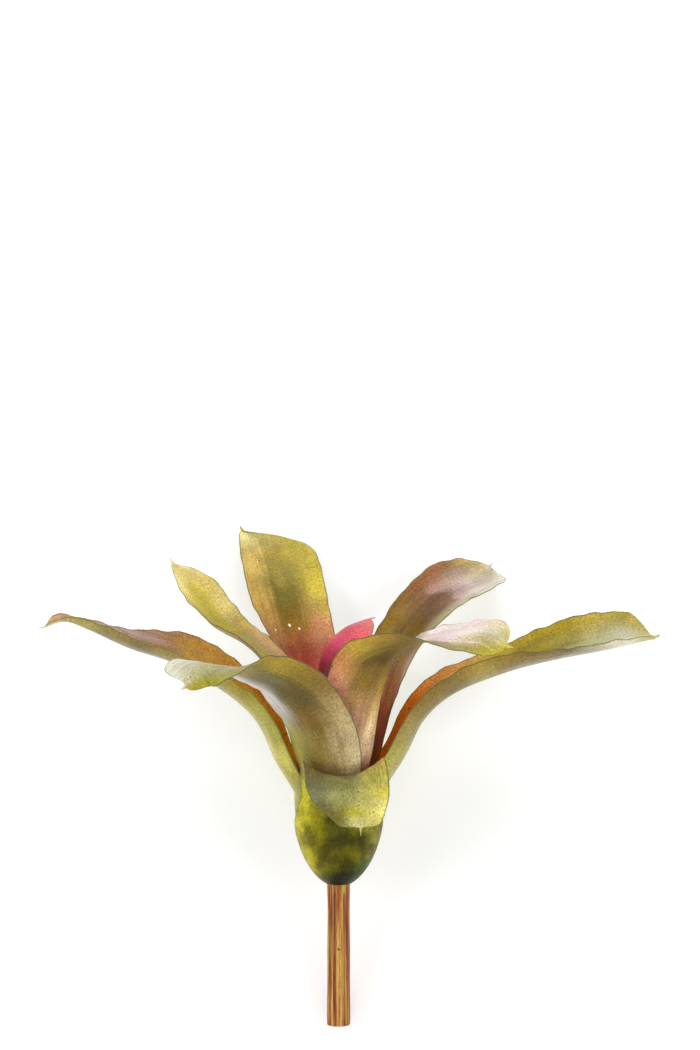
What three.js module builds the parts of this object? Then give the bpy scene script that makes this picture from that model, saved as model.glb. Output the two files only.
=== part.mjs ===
// A cut bromeliad rosette on its bare stem, lying on its back leaves and the end of the stem.
// Lengths in millimetres, angles in degrees. The leaves are set out about an upright stem:
// z runs up the stem, -y is the front. The finished rosette is then laid down.
import * as THREE from "three";

// --- stem
const STEM_RADIUS = 5.75;
const STEM_LENGTH = 71.5;
const STEM_SIDES = 32;
const CORE_RADIUS = 6;
const CORE_TOP = 17;
const BUD_TOP = 24;

// --- bulb of overlapping leaf bases: nested half ellipsoids
const BULB_RADIUS = 24;
const BULB_HEIGHT = 45;
const BULB_BASE = -1.5;
const FIRST_LAYER = 0.5;
const LAYER_STEP = 1.8;
const CORE_GAP = 0.7;

// --- leaf blades
const LEAF_THICKNESS = 1;
const MARGIN_THINNING = 0.4;
const THINNEST_HALF_WIDTH = 0.6;
const SPINE_TIP_HALF_WIDTH = 0.25;
const SHEATH_ROWS = 7;
const BLADE_ROWS = 16;
const COLUMNS = 10;
const CURVE_STEPS = 400;

// --- how the rosette lies
const HEAD_UP = 17.9;
const SIDE_ROLL = 3.8;

// azimuth: direction of the leaf base, counted from +x; the front is 270
// layer: place in the bulb, 0 outermost
// wrap: half angle of the sheath from its foot to its top
// path: azimuth, reach and height of the midrib above the sheath
// halfWidth, cup (half angle of the cross section) and roll: from the sheath's top to the tip
// shift: how far the middle of the blade lies off the midrib
// droop: how far one half folds down along the midrib, + the half towards larger azimuths
// tip: share of the blade that narrows; blunt: how square it ends; skew: apex off the midrib
// ruffle: height, number and start of the waves along the margin
const LEAVES = [
  {
    name: "short_front_leaf",
    colour: "#7f8434",
    azimuth: 272,
    layer: 0,
    wrap: [88, 88, 88, 84, 68, 52],
    sheathTop: 46,
    path: [[273, 26.5, 53], [274, 31, 58.5], [276, 35.5, 55.5], [276, 37, 46], [277, 36, 34]],
    halfWidth: [22, 22.5, 22, 19, 14, 9],
    shift: [0, 0, 0, 2, 5, 6],
    cup: [46, 47, 38, 22, 12, 8],
    roll: [0, 0, 0],
    droop: [0, 0],
    tip: 0.07,
    blunt: 0.42,
    skew: 0.05,
    ruffle: [0.6, 2, 0],
    spine: 4,
  },
  {
    name: "left_leaf",
    colour: "#a08a3a",
    azimuth: 182,
    layer: 1,
    wrap: [84, 84, 80, 68, 46],
    sheathTop: 46,
    path: [
      [182, 31, 62], [182, 41, 83], [182, 58, 99], [182, 80, 112],
      [182, 104, 120], [182, 124, 129], [182, 136, 133], [182, 146, 130],
    ],
    halfWidth: [20, 20, 20, 20.5, 21, 20, 18.5, 16, 12.5, 8, 4.5, 5.5],
    shift: [0, 0],
    cup: [53, 57, 60, 62, 64, 66, 66, 66, 70, 75, 62, 30],
    roll: [-2, -5, -12, -12, -8, -5, -5],
    droop: [0, 0],
    tip: 0.035,
    blunt: 0.4,
    skew: 0.3,
    ruffle: [1, 2.2, 0.5],
    spine: 3,
  },
  {
    name: "right_leaf",
    colour: "#96853a",
    azimuth: -2,
    layer: 1,
    wrap: [86, 86, 84, 78, 64],
    sheathTop: 46,
    path: [
      [-2, 33, 65], [-2, 43, 84], [-2, 58, 97], [-2, 82, 107],
      [-2, 108, 115], [-2, 134, 121], [-2, 156, 126],
    ],
    halfWidth: [22, 21, 21, 22, 21, 20, 16],
    shift: [0, 0],
    cup: [58, 60, 60, 62, 64, 60, 45],
    roll: [2, 2, 2, 4, 14, 20, 20],
    droop: [0, 0],
    tip: 0.06,
    blunt: 0.36,
    skew: -0.85,
    ruffle: [1, 2, 2],
    spine: 3,
  },
  {
    name: "left_front_leaf",
    colour: "#8a8142",
    azimuth: 254,
    layer: 2,
    wrap: [70, 70, 66, 58, 46],
    sheathTop: 48,
    path: [
      [255, 27, 66], [250, 34, 84], [237, 45, 101], [229, 60, 110],
      [224, 78, 116], [222, 92, 117], [223, 103, 111],
    ],
    halfWidth: [19, 19, 19, 19, 18, 14],
    shift: [0, 0, -2],
    cup: [42, 40, 34, 25, 0, 5],
    roll: [0, 5, 15, 16, 0, -12],
    droop: [0, 0, 0, 0, 25, 50],
    tip: 0.12,
    blunt: 0.42,
    skew: 0.45,
    ruffle: [0.8, 2, 0],
    spine: 4,
  },
  {
    name: "right_front_leaf",
    colour: "#978350",
    azimuth: 268,
    layer: 3,
    wrap: [62, 62, 60, 54, 44],
    sheathTop: 48,
    path: [
      [274, 23, 66], [282, 26, 83], [289, 31, 100], [297, 37, 114], [306, 47, 121.5],
      [316, 61, 127], [322, 75, 130], [326, 87, 131], [328, 96, 127],
    ],
    halfWidth: [17, 17, 18, 19, 17, 14],
    shift: [0, 0, 2],
    cup: [45, 45, 45, 35, 10, 5],
    roll: [0, 0, 0, 5, 10, 14],
    droop: [0, 0, 0, 0, -20, -50],
    tip: 0.1,
    blunt: 0.4,
    skew: -0.3,
    ruffle: [0.8, 2, 2],
    spine: 4,
  },
  {
    name: "tall_back_leaf",
    colour: "#a8923c",
    azimuth: 112,
    layer: 2,
    wrap: [60, 60, 58, 54, 44],
    sheathTop: 48,
    path: [[113, 26, 65], [114, 32, 82], [114, 46, 112], [114, 62, 138], [114, 76, 157], [113, 92, 170]],
    halfWidth: [17, 17, 17.8, 22, 22.5, 18],
    shift: [0, 0, 0, 2.5, 1, 0],
    cup: [42, 38, 30, 27, 15, 5],
    roll: [0, 0, 0],
    droop: [0, 0],
    tip: 0.12,
    blunt: 0.31,
    skew: 0.93,
    ruffle: [1.5, 2, 1],
    spine: 3,
  },
  {
    name: "left_back_leaf",
    colour: "#ab983f",
    azimuth: 148,
    layer: 3,
    wrap: [50, 50, 50, 48, 42],
    sheathTop: 48,
    path: [
      [149, 22, 64], [151, 25, 82], [152, 31, 98], [152, 39, 109], [153, 50, 118],
      [151, 66, 125], [150, 79, 136], [150, 90, 149], [150, 98, 157],
    ],
    halfWidth: [15, 15, 15, 14, 15, 17, 17, 8],
    shift: [0, 0],
    cup: [42, 40, 36, 30, 25, 30],
    roll: [0, 0, 0],
    droop: [0, 0],
    tip: 0.08,
    blunt: 0.5,
    skew: 0,
    ruffle: [1, 1.6, 0],
    spine: 4,
  },
  {
    name: "right_back_leaf",
    colour: "#8d7448",
    azimuth: 40,
    layer: 4,
    wrap: [58, 58, 56, 52, 44],
    sheathTop: 48,
    path: [
      [40, 20, 62], [40, 25, 76], [39, 31, 92], [38, 41, 114],
      [38, 57, 131], [38, 77, 143], [38, 106, 151],
    ],
    halfWidth: [16, 16, 17, 18, 20, 21, 14],
    shift: [0, 0],
    cup: [48, 50, 50, 45, 40, 40],
    roll: [0, 0, 10, 18, 20, 10],
    droop: [0, 0],
    tip: 0.1,
    blunt: 0.5,
    skew: 0.6,
    ruffle: [1, 1.6, 0.8],
    spine: 3,
  },
  {
    name: "low_back_leaf",
    colour: "#7f8434",
    azimuth: 84,
    layer: 0,
    wrap: [74, 74, 72, 62, 42],
    sheathTop: 46,
    path: [[80, 30, 64], [78, 38, 88], [76, 48, 102], [76, 56, 107]],
    halfWidth: [20, 20, 17],
    shift: [0, 0],
    cup: [40, 30, 20],
    roll: [0, 0, 0],
    droop: [0, 0],
    tip: 0.3,
    blunt: 0.5,
    skew: 0,
    ruffle: [0.8, 2, 0],
    spine: 3,
  },
  {
    name: "heart_leaf",
    colour: "#cf4a63",
    azimuth: 215,
    layer: 5,
    wrap: [80, 80, 84, 88, 90],
    sheathTop: 46,
    path: [
      [216, 13, 70], [218, 13, 90], [218, 10, 106],
      [217, 5, 119], [216, -6, 128], [216, -19, 132],
    ],
    halfWidth: [17, 17, 18, 16],
    shift: [0, 0],
    cup: [90, 90, 90, 80],
    roll: [0, 0, 0],
    droop: [0, 0],
    tip: 0.25,
    blunt: 0.5,
    skew: 0,
    ruffle: [0.5, 2, 0],
    spine: 4,
  },
];

const radians = THREE.MathUtils.degToRad;
const clamp = THREE.MathUtils.clamp;

function smooth(x) {
  const t = clamp(x, 0, 1);
  return t * t * (3 - 2 * t);
}

// Catmull-Rom curve through numbers, its ends carried on straight
function through(values, u, before = 2 * values[0] - values[1]) {
  const last = values.length - 1;
  const x = clamp(u, 0, 1) * last;
  const i = Math.min(Math.floor(x), last - 1);
  const f = x - i;
  const a = i === 0 ? before : values[i - 1];
  const b = values[i];
  const c = values[i + 1];
  const d = i + 2 > last ? 2 * values[last] - values[last - 1] : values[i + 2];
  const linear = c - a;
  const square = 2 * a - 5 * b + 4 * c - d;
  const cube = 3 * b - a - 3 * c + d;
  return 0.5 * (2 * b + linear * f + square * f * f + cube * f * f * f);
}

function fromStem(azimuth, reach, height) {
  const a = radians(azimuth);
  return new THREE.Vector3(reach * Math.cos(a), reach * Math.sin(a), height);
}

// Half ellipsoid on which the sheaths of one layer lie
function bulbLayer(layer) {
  const depth = FIRST_LAYER + LAYER_STEP * layer;
  const wide = BULB_RADIUS - depth;
  const deep = BULB_HEIGHT - BULB_BASE - depth;
  return {
    foot: Math.asin((CORE_RADIUS + CORE_GAP) / wide),
    angleAt: (z) => Math.acos((BULB_HEIGHT - z) / deep),
    reachAt: (angle) => wide * Math.sin(angle),
    heightAt: (angle) => BULB_HEIGHT - deep * Math.cos(angle),
  };
}

// Rows of the sheath, from the core of the stem up to the blade
function sheathRows(leaf, shell) {
  const topAngle = shell.angleAt(leaf.sheathTop);
  const footHeight = shell.heightAt(shell.foot);
  const rows = [];
  for (let k = 0; k < SHEATH_ROWS; k += 1) {
    const angle = shell.foot + ((topAngle - shell.foot) * k) / SHEATH_ROWS;
    const reach = shell.reachAt(angle);
    const height = shell.heightAt(angle);
    const up = (height - footHeight) / (leaf.sheathTop - footHeight);
    const wrap = radians(through(leaf.wrap, up));
    rows.push({
      point: fromStem(leaf.azimuth, reach, height),
      azimuth: leaf.azimuth,
      t: 0,
      inSheath: true,
      base: reach * wrap,
      half: reach * wrap,
      bend: wrap,
    });
  }
  return rows;
}

// Midrib of the blade, sampled at even steps of its length
function midrib(leaf, shell) {
  const topReach = shell.reachAt(shell.angleAt(leaf.sheathTop));
  const lower = leaf.sheathTop - 12;
  const before = fromStem(leaf.azimuth, shell.reachAt(shell.angleAt(lower)), lower);
  const nodes = [fromStem(leaf.azimuth, topReach, leaf.sheathTop)];
  leaf.path.forEach(([azimuth, reach, height]) => nodes.push(fromStem(azimuth, reach, height)));
  const azimuths = [leaf.azimuth, ...leaf.path.map((p) => p[0])];
  const samples = [];
  let length = 0;
  for (let i = 0; i <= CURVE_STEPS; i += 1) {
    const u = i / CURVE_STEPS;
    const point = new THREE.Vector3(
      through(nodes.map((n) => n.x), u, before.x),
      through(nodes.map((n) => n.y), u, before.y),
      through(nodes.map((n) => n.z), u, before.z),
    );
    if (i > 0) {
      length += point.distanceTo(samples[i - 1].point);
    }
    samples.push({ point, length, azimuth: through(azimuths, u) });
  }
  return { samples, length, topReach };
}

function alongMidrib(rib, distance) {
  let i = 1;
  while (i < CURVE_STEPS && rib.samples[i].length < distance) {
    i += 1;
  }
  const a = rib.samples[i - 1];
  const b = rib.samples[i];
  const f = clamp((distance - a.length) / (b.length - a.length), 0, 1);
  return {
    point: a.point.clone().lerp(b.point, f),
    azimuth: THREE.MathUtils.lerp(a.azimuth, b.azimuth, f),
  };
}

function bladeRows(leaf, shell) {
  const rib = midrib(leaf, shell);
  const topWrap = leaf.wrap[leaf.wrap.length - 1];
  const widths = [rib.topReach * radians(topWrap), ...leaf.halfWidth];
  const cups = [topWrap, ...leaf.cup];
  const rows = [];
  for (let k = 0; k <= BLADE_ROWS; k += 1) {
    const even = k / BLADE_ROWS;
    const t = even + 0.25 * Math.sin(Math.PI * even) ** 2 * (even - even * even);
    const place = alongMidrib(rib, t * rib.length);
    const base = through(widths, t);
    const end = clamp((t - (1 - leaf.tip)) / leaf.tip, 0, 1);
    const narrowed = base * Math.max(1 - end * end, 0) ** leaf.blunt;
    rows.push({
      point: place.point,
      azimuth: place.azimuth,
      t,
      inSheath: false,
      base,
      half: Math.max(narrowed, THINNEST_HALF_WIDTH),
      bend: radians(through(cups, t)),
    });
  }
  return rows;
}

// Gives each row its directions: along the leaf, across it and towards its upper side
function orient(leaf, rows) {
  const last = rows.length - 1;
  rows.forEach((row, i) => {
    const previous = rows[Math.max(i - 1, 0)].point;
    const next = rows[Math.min(i + 1, last)].point;
    const back = row.point.clone().sub(previous);
    const ahead = next.clone().sub(row.point);
    const backLength = Math.max(back.length(), 1e-9);
    const aheadLength = Math.max(ahead.length(), 1e-9);
    const along = back.multiplyScalar(aheadLength / backLength);
    along.add(ahead.multiplyScalar(backLength / aheadLength)).normalize();
    const outward = fromStem(row.azimuth, 1, 0);
    const across = fromStem(row.azimuth + 90, 1, 0);
    if (!row.inSheath) {
      across.addScaledVector(along, -across.dot(along)).normalize();
    }
    const level = new THREE.Vector3().crossVectors(along, across);
    const settled = row.inSheath ? 0 : smooth(row.t / 0.3);
    const face = outward.multiplyScalar(settled - 1).addScaledVector(level, settled);
    face.addScaledVector(across, -face.dot(across)).normalize();
    const roll = row.inSheath ? 0 : radians(through([0, ...leaf.roll], row.t));
    row.along = along;
    row.across = across.clone().multiplyScalar(Math.cos(roll)).addScaledVector(face, Math.sin(roll));
    row.face = face.clone().multiplyScalar(Math.cos(roll)).addScaledVector(across, -Math.sin(roll));
  });
}

// The small spine that ends the leaf
function addSpine(leaf, rows) {
  const end = rows[rows.length - 1];
  const shares = [[0.4, THINNEST_HALF_WIDTH], [1, SPINE_TIP_HALF_WIDTH]];
  shares.forEach(([share, half]) => {
    const point = end.point.clone().addScaledVector(end.along, share * leaf.spine);
    rows.push({ ...end, point, half });
  });
}

// Points of the leaf's middle surface, row by row
function leafSurface(leaf) {
  const shell = bulbLayer(leaf.layer);
  const rows = [...sheathRows(leaf, shell), ...bladeRows(leaf, shell)];
  orient(leaf, rows);
  addSpine(leaf, rows);
  const [waveHeight, waves, start] = leaf.ruffle;
  return rows.map((row) => {
    const bend = Math.abs(row.bend) < 0.02 ? 0.02 : row.bend;
    const radius = row.base / bend;
    const aside = through([0, ...leaf.shift], row.t) + leaf.skew * (row.base - row.half);
    const fold = radians(through([0, ...leaf.droop], row.t));
    const line = [];
    for (let j = 0; j <= COLUMNS; j += 1) {
      const v = -1 + (2 * j) / COLUMNS;
      const u = v * row.half + aside;
      const phase = 2 * Math.PI * waves * row.t + start + (v < 0 ? 0 : 1.9);
      const share = (Math.abs(u) / row.base) ** 3 * smooth((row.t - 0.1) / 0.25);
      const lift = radius * (1 - Math.cos(u / radius)) + waveHeight * Math.sin(phase) * share;
      const sideways = radius * Math.sin(u / radius);
      const folded = u * fold > 0 ? Math.abs(fold) * smooth(Math.abs(u) / (0.4 * row.base)) : 0;
      const turn = Math.sign(u) * folded;
      const out = sideways * Math.cos(turn) + lift * Math.sin(turn);
      const up = lift * Math.cos(turn) - sideways * Math.sin(turn);
      const point = row.point.clone().addScaledVector(row.across, out);
      line.push(point.addScaledVector(row.face, up));
    }
    return line;
  });
}

// Direction of the surface's upper side at each point, from its neighbours
function surfaceNormals(surface) {
  const lastRow = surface.length - 1;
  return surface.map((line, i) => line.map((_, j) => {
    const along = surface[Math.min(i + 1, lastRow)][j].clone().sub(surface[Math.max(i - 1, 0)][j]);
    const across = line[Math.min(j + 1, COLUMNS)].clone().sub(line[Math.max(j - 1, 0)]);
    return along.cross(across).normalize();
  }));
}

// Closed solid: the surface thickened to both sides and joined round its rim
function leafGeometry(leaf) {
  const surface = leafSurface(leaf);
  const normals = surfaceNormals(surface);
  const rowCount = surface.length;
  const across = COLUMNS + 1;
  const positions = [];
  [1, -1].forEach((side) => {
    surface.forEach((line, i) => line.forEach((point, j) => {
      const v = Math.abs(-1 + (2 * j) / COLUMNS);
      const half = 0.5 * LEAF_THICKNESS * (1 - MARGIN_THINNING * v ** 3);
      positions.push(...point.clone().addScaledVector(normals[i][j], side * half).toArray());
    }));
  });
  const under = rowCount * across;
  const faces = [];
  const quad = (a, b, c, d) => faces.push(a, b, c, a, c, d);
  for (let i = 0; i < rowCount - 1; i += 1) {
    for (let j = 0; j < COLUMNS; j += 1) {
      const a = i * across + j;
      const b = a + across;
      quad(a, b, b + 1, a + 1);
      quad(under + a, under + a + 1, under + b + 1, under + b);
    }
    const left = i * across;
    const right = left + COLUMNS;
    quad(left, under + left, under + left + across, left + across);
    quad(right, right + across, under + right + across, under + right);
  }
  const end = (rowCount - 1) * across;
  for (let j = 0; j < COLUMNS; j += 1) {
    quad(j, j + 1, under + j + 1, under + j);
    quad(end + j, under + end + j, under + end + j + 1, end + j + 1);
  }
  const geometry = new THREE.BufferGeometry();
  geometry.setAttribute("position", new THREE.Float32BufferAttribute(positions, 3));
  geometry.setIndex(faces);
  geometry.computeVertexNormals();
  return geometry;
}

// Bare stem with its flat cut, and the short core and bud it carries inside the rosette
function stemGeometry() {
  const profile = [
    [0, -STEM_LENGTH], [STEM_RADIUS, -STEM_LENGTH], [STEM_RADIUS, -0.8], [CORE_RADIUS, 0],
    [CORE_RADIUS, CORE_TOP], [0.6 * CORE_RADIUS, 0.5 * (CORE_TOP + BUD_TOP)], [0, BUD_TOP],
  ];
  const outline = profile.map(([radius, height]) => new THREE.Vector2(radius, height));
  return new THREE.LatheGeometry(outline, STEM_SIDES).rotateX(Math.PI / 2);
}

function piece(name, geometry, colour, roughness) {
  const material = new THREE.MeshStandardMaterial({ color: colour, roughness });
  const mesh = new THREE.Mesh(geometry, material);
  mesh.name = name;
  return mesh;
}

// Lays the rosette on its back and sets its lowest point on the ground, centred
function layDown(meshes) {
  const flat = new THREE.Matrix4().makeRotationX(-Math.PI / 2);
  const headUp = new THREE.Matrix4().makeRotationX(radians(HEAD_UP));
  const sideRoll = new THREE.Matrix4().makeRotationY(radians(SIDE_ROLL));
  const lying = sideRoll.multiply(headUp).multiply(flat);
  const box = new THREE.Box3();
  meshes.forEach((mesh) => {
    mesh.geometry.applyMatrix4(lying);
    mesh.geometry.computeBoundingBox();
    box.union(mesh.geometry.boundingBox);
  });
  const middle = box.getCenter(new THREE.Vector3());
  meshes.forEach((mesh) => mesh.geometry.translate(-middle.x, -middle.y, -box.min.z));
}

const meshes = [
  piece("stem", stemGeometry(), "#a5713f", 0.8),
  ...LEAVES.map((leaf) => piece(leaf.name, leafGeometry(leaf), leaf.colour, 0.5)),
];
layDown(meshes);

const group = new THREE.Group();
group.name = "nidularium_rosette";
group.add(...meshes);

export default group;
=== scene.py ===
"""Looks of a cut bromeliad rosette on its bare stem, lying on a pale studio floor.

The leaves are drawn about an upright plant in millimetres: z runs up the stem and -y is the
front. Each finished piece is then laid down into the frame and turned to metres.
"""
import math

import bpy
import numpy as np
from mathutils import Matrix, Vector


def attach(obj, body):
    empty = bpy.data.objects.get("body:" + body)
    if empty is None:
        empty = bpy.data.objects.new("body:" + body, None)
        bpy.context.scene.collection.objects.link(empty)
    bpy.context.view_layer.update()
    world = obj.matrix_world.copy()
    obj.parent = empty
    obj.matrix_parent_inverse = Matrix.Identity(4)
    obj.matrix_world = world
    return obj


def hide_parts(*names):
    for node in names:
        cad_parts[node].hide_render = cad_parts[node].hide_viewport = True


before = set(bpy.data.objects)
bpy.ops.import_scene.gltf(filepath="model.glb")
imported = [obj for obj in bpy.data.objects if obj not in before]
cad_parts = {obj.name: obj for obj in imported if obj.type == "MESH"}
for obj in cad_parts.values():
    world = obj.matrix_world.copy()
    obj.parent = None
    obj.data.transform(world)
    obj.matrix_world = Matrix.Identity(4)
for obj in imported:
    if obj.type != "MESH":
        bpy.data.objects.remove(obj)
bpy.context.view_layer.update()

MM = 0.001

# Size of the plant
STEM_RADIUS = 5.75
STEM_LENGTH = 71.5
STEM_SIDES = 72
CORE_RADIUS = 6.0
CORE_TOP = 17.0
BUD_TOP = 24.0
BULB_RADIUS = 24.0
BULB_HEIGHT = 45.0
BULB_BASE = -1.5
FIRST_LAYER = 0.5
LAYER_STEP = 1.8
CORE_GAP = 0.7
LEAF_THICKNESS = 1.0
MARGIN_THINNING = 0.62
TIP_THINNING = 0.35
SPINE_THINNING = 0.75
SPINE_BASE_HALF = 1.15
SPINE_TIP_HALF = 0.08
SPINE_HOOK = 0.18

# How unevenly a leaf grows: crimps in its margins, grooves along it and soft swells
CRIMP_HEIGHT = 0.4
CRIMP_LENGTHS = (23, 15, 9.5)
GROOVE_HEIGHT = 0.1
GROOVE_WIDTHS = (11, 6.5)
SWELL_HEIGHT = 0.25

# Prickles along the margins
PRICKLE_GAP = (2.3, 4.2)
PRICKLE_LENGTH = (0.3, 0.62)
PRICKLE_HALF_THICK = 0.13
PRICKLE_ROOT = 0.12

# Share of a leaf's place map that its sheath takes, and what stands for far from any margin
SHEATH_SHARE = 0.25
FAR_FROM_MARGIN = 5.0

# Fineness of the meshes
SHEATH_ROWS = 22
BLADE_STEP = 1.5
TIP_ROWS = 30
SPINE_ROWS = 7
COLUMNS = 40
CURVE_STEPS = 600

# How the plant lies: turned on its back, its head propped up, rolled to one side
HEAD_UP = 17.9
SIDE_ROLL = 3.8
SHIFT = (-8.2637, -60.3279, 27.3873)

# azimuth: direction of the leaf base, counted from +x; the front is 270
# layer: place in the bulb, 0 outermost
# wrap: half angle of the sheath from its foot to its top
# path: azimuth, reach and height of the midrib above the sheath
# half_width, cup (half angle of the cross section), roll: from the sheath's top to the tip
# shift: how far the blade's middle lies off its midrib
# droop: how far one half folds down along the midrib (+ left hand, - right hand, seen from the stem)
# tip: share of the blade that narrows; blunt: how square it ends; skew: apex off the midrib
# ruffle: height, number and start of the waves along the margin; spine: its length
PLAIN_LEAF = dict(roll=[0, 0, 0], shift=[0, 0], droop=[0, 0], spine=3)
LEAVES = {
    "short_front_leaf": dict(
        azimuth=272, layer=0, wrap=[88, 88, 88, 84, 68, 52], sheath_top=46,
        path=[(273, 26.5, 53), (274, 31, 58.5), (276, 35.5, 55.5), (276, 37, 46), (277, 36, 34)],
        half_width=[22, 22.5, 22, 19, 14, 9], shift=[0, 0, 0, 2, 5, 6], cup=[46, 47, 38, 22, 12, 8],
        tip=0.07, blunt=0.42, skew=0.05, ruffle=(0.6, 2, 0), spine=4),
    "left_leaf": dict(
        azimuth=182, layer=1, wrap=[84, 84, 80, 68, 46], sheath_top=46,
        path=[(182, 31, 62), (182, 41, 83), (182, 58, 99), (182, 80, 112),
              (182, 104, 120), (182, 124, 129), (182, 136, 133), (182, 146, 130)],
        half_width=[20, 20, 20, 20.5, 21, 20, 18.5, 16, 12.5, 8, 4.5, 5.5],
        cup=[53, 57, 60, 62, 64, 66, 66, 66, 70, 75, 62, 30], roll=[-2, -5, -12, -12, -8, -5, -5],
        tip=0.035, blunt=0.4, skew=0.3, ruffle=(1, 2.2, 0.5)),
    "right_leaf": dict(
        azimuth=-2, layer=1, wrap=[86, 86, 84, 78, 64], sheath_top=46,
        path=[(-2, 33, 65), (-2, 43, 84), (-2, 58, 97), (-2, 82, 107),
              (-2, 108, 115), (-2, 134, 121), (-2, 156, 126)],
        half_width=[22, 21, 21, 22, 21, 20, 16], cup=[58, 60, 60, 62, 64, 60, 45],
        roll=[2, 2, 2, 4, 14, 20, 20],
        tip=0.06, blunt=0.36, skew=-0.85, ruffle=(1, 2, 2)),
    "left_front_leaf": dict(
        azimuth=254, layer=2, wrap=[70, 70, 66, 58, 46], sheath_top=48,
        path=[(255, 27, 66), (250, 34, 84), (237, 45, 101), (229, 60, 110),
              (224, 78, 116), (222, 92, 117), (223, 103, 111)],
        half_width=[19, 19, 19, 19, 18, 14], shift=[0, 0, -2], cup=[42, 40, 34, 25, 0, 5],
        roll=[0, 5, 15, 16, 0, -12], droop=[0, 0, 0, 0, 25, 50],
        tip=0.12, blunt=0.42, skew=0.45, ruffle=(0.8, 2, 0), spine=4),
    "right_front_leaf": dict(
        azimuth=268, layer=3, wrap=[62, 62, 60, 54, 44], sheath_top=48,
        path=[(274, 23, 66), (282, 26, 83), (289, 31, 100), (297, 37, 114), (306, 47, 121.5),
              (316, 61, 127), (322, 75, 130), (326, 87, 131), (328, 96, 127)],
        half_width=[17, 17, 18, 19, 17, 14], shift=[0, 0, 2], cup=[45, 45, 45, 35, 10, 5],
        roll=[0, 0, 0, 5, 10, 14], droop=[0, 0, 0, 0, -20, -50],
        tip=0.1, blunt=0.4, skew=-0.3, ruffle=(0.8, 2, 2), spine=4),
    "tall_back_leaf": dict(
        azimuth=112, layer=2, wrap=[60, 60, 58, 54, 44], sheath_top=48,
        path=[(113, 26, 65), (114, 32, 82), (114, 46, 112), (114, 62, 138),
              (114, 76, 157), (113, 92, 170)],
        half_width=[17, 17, 17.8, 22, 22.5, 18], shift=[0, 0, 0, 2.5, 1, 0],
        cup=[42, 38, 30, 27, 15, 5],
        tip=0.12, blunt=0.31, skew=0.93, ruffle=(1.5, 2, 1)),
    "left_back_leaf": dict(
        azimuth=148, layer=3, wrap=[50, 50, 50, 48, 42], sheath_top=48,
        path=[(149, 22, 64), (151, 25, 82), (152, 31, 98), (152, 39, 109), (153, 50, 118),
              (151, 66, 125), (150, 79, 136), (150, 90, 149), (150, 98, 157)],
        half_width=[15, 15, 15, 14, 15, 17, 17, 8], cup=[42, 40, 36, 30, 25, 30],
        tip=0.08, blunt=0.5, skew=0, ruffle=(1, 1.6, 0), spine=4),
    "right_back_leaf": dict(
        azimuth=40, layer=4, wrap=[58, 58, 56, 52, 44], sheath_top=48,
        path=[(40, 20, 62), (40, 25, 76), (39, 31, 92), (38, 41, 114),
              (38, 57, 131), (38, 77, 143), (38, 106, 151)],
        half_width=[16, 16, 17, 18, 20, 21, 14], cup=[48, 50, 50, 45, 40, 40],
        roll=[0, 0, 10, 18, 20, 10],
        tip=0.1, blunt=0.5, skew=0.6, ruffle=(1, 1.6, 0.8)),
    "low_back_leaf": dict(
        azimuth=84, layer=0, wrap=[74, 74, 72, 62, 42], sheath_top=46,
        path=[(80, 30, 64), (78, 38, 88), (76, 48, 102), (76, 56, 107)],
        half_width=[20, 20, 17], cup=[40, 30, 20],
        tip=0.3, blunt=0.5, skew=0, ruffle=(0.8, 2, 0)),
    "heart_leaf": dict(
        azimuth=215, layer=5, wrap=[80, 80, 84, 88, 90], sheath_top=46,
        path=[(216, 13, 70), (218, 13, 90), (218, 10, 106),
              (217, 5, 119), (216, -6, 128), (216, -19, 132)],
        half_width=[17, 17, 18, 16], cup=[90, 90, 90, 80],
        tip=0.25, blunt=0.5, skew=0, ruffle=(0.5, 2, 0), spine=4),
}

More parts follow.
